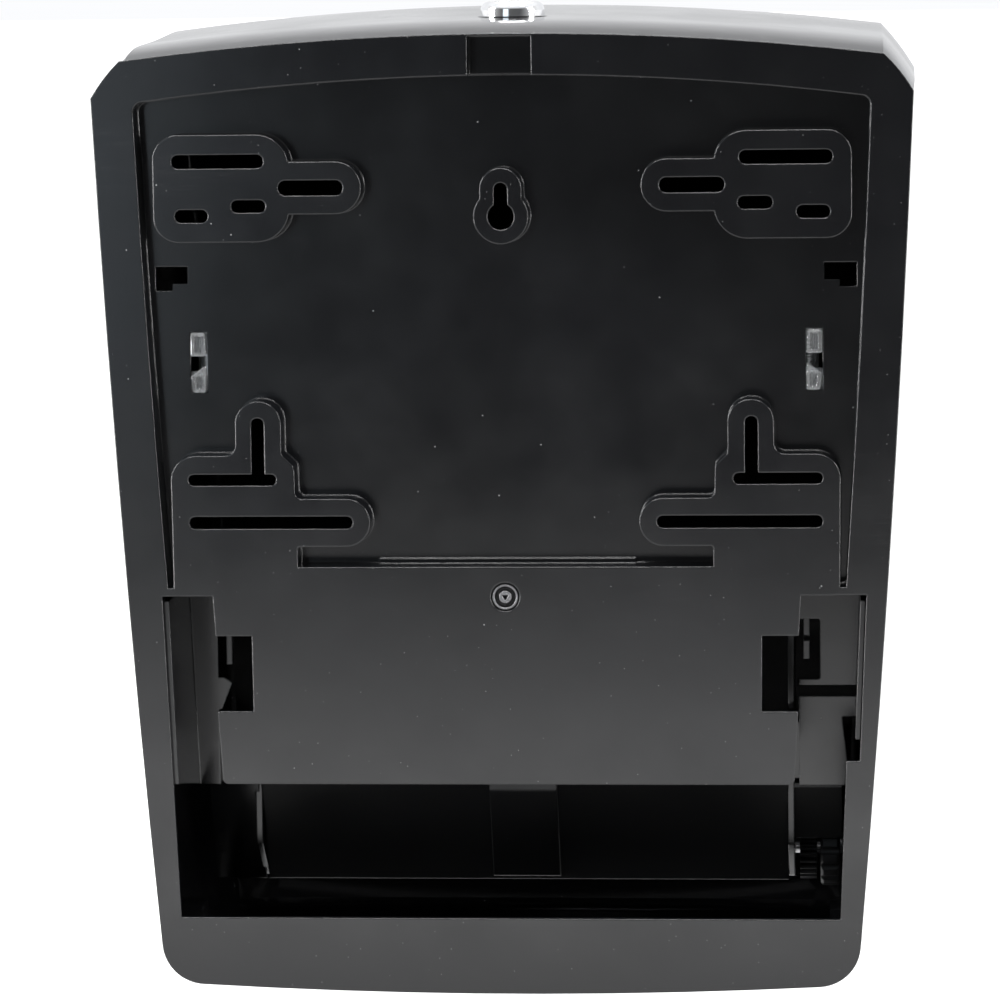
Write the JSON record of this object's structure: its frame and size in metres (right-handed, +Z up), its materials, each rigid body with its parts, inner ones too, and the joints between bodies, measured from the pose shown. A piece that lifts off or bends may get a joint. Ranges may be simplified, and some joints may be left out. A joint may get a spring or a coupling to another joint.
{
  "type": "wall-mounted roll towel dispenser",
  "caption": "Wall-mounted hardwound roll towel dispenser with a tapered black cabinet, key lock, hinged cover, feed rollers and slotted back frame.",
  "frame": {"origin": "centre of the keyhole's head circle, on the wall plane", "axes": "+Z up the wall, +Y from the cabinet towards the wall, +X to the right as seen from the front"},
  "size_m": [0.3028, 0.232, 0.3744],
  "materials": {
    "chassis_black": "satin moulded black ABS, faint dust and scuffs",
    "cover_black": "high-gloss moulded black ABS",
    "smoke_lens": "smoked translucent acrylic",
    "clear_arm": "clear moulded polycarbonate",
    "grey_plastic": "light grey acetal",
    "guide_black": "fine-textured black ABS",
    "steel": "bright stainless steel",
    "zinc_steel": "zinc-plated steel",
    "chrome_lock": "bright chrome plate",
    "roller_rubber": "ground black rubber",
    "gear_black": "black acetal",
    "screw_black": "black oxide screw"
  },
  "bodies": {
    "back": {"arm_base_left": "clear_arm", "arm_base_right": "clear_arm", "arm_pin_left": "steel", "arm_pin_right": "steel", "back_frame": "chassis_black", "exit_bar": "guide_black", "feed_bushes": "gear_black", "gear_cover": "guide_black", "hinge_pins": "steel", "keeper_screws": "zinc_steel", "latch_keeper": "zinc_steel", "paper_guide": "guide_black", "pinch_bushes": "gear_black", "pinch_springs": "steel", "roll_cradle": "guide_black", "side_frame_left": "chassis_black", "side_frame_right": "chassis_black", "tear_bar": "steel", "tear_bar_screws": "zinc_steel", "tie_rods": "steel", "unit_screw": "screw_black"},
    "cover": {"front_cover": "cover_black", "sight_window": "smoke_lens", "window_frame": "guide_black", "lock_housing": "chrome_lock", "lock_nut": "zinc_steel", "lock_washer": "zinc_steel"},
    "lock": {"lock_plug": "chrome_lock", "lock_cam": "zinc_steel", "cam_nut": "zinc_steel"},
    "feed_roller": {"feed_shaft": "steel", "feed_sleeves": "roller_rubber", "feed_gear": "gear_black", "thumb_wheel": "gear_black"},
    "pinch_roller": {"pinch_shaft": "steel", "pinch_sleeves": "roller_rubber", "pinch_gear": "gear_black"},
    "arm_left": {"roll_arm_left": "clear_arm", "hub_cap_left": "grey_plastic"},
    "arm_right": {"roll_arm_right": "clear_arm", "hub_cap_right": "grey_plastic"},
    "hub_left": {"roll_hub_left": "grey_plastic"},
    "hub_right": {"roll_hub_right": "grey_plastic"}
  },
  "joints": [
    {"name": "cover_hinge", "type": "hinge", "parent": "back", "child": "cover", "pos_m": [0, -0.03, -0.2744], "axis": [1, 0, 0], "range_deg": [0, 85]},
    {"name": "lock_turn", "type": "hinge", "parent": "cover", "child": "lock", "pos_m": [0, -0.07, 0.0716], "axis": [0, 0, 1], "range_deg": [0, 90]},
    {"name": "feed_roller_spin", "type": "hinge", "parent": "back", "child": "feed_roller", "pos_m": [0, -0.118, -0.2534], "axis": [1, 0, 0], "continuous": true},
    {"name": "pinch_roller_spin", "type": "hinge", "parent": "back", "child": "pinch_roller", "pos_m": [0, -0.14, -0.2534], "axis": [1, 0, 0], "continuous": true},
    {"name": "arm_left_spread", "type": "hinge", "parent": "back", "child": "arm_left", "pos_m": [-0.111, -0.023, -0.0535], "axis": [0, 0, -1], "range_deg": [0, 10], "stiffness_Nm_per_rad": 0.6},
    {"name": "arm_right_spread", "type": "hinge", "parent": "back", "child": "arm_right", "pos_m": [0.111, -0.023, -0.0535], "axis": [0, 0, 1], "range_deg": [0, 10], "stiffness_Nm_per_rad": 0.6},
    {"name": "hub_left_spin", "type": "hinge", "parent": "arm_left", "child": "hub_left", "pos_m": [-0.1, -0.118, -0.046], "axis": [1, 0, 0], "continuous": true},
    {"name": "hub_right_spin", "type": "hinge", "parent": "arm_right", "child": "hub_right", "pos_m": [0.1, -0.118, -0.046], "axis": [1, 0, 0], "continuous": true}
  ],
  "couplings": [
    {"joint": "pinch_roller_spin", "follows": "feed_roller_spin", "ratio": -1.4444}
  ]
}
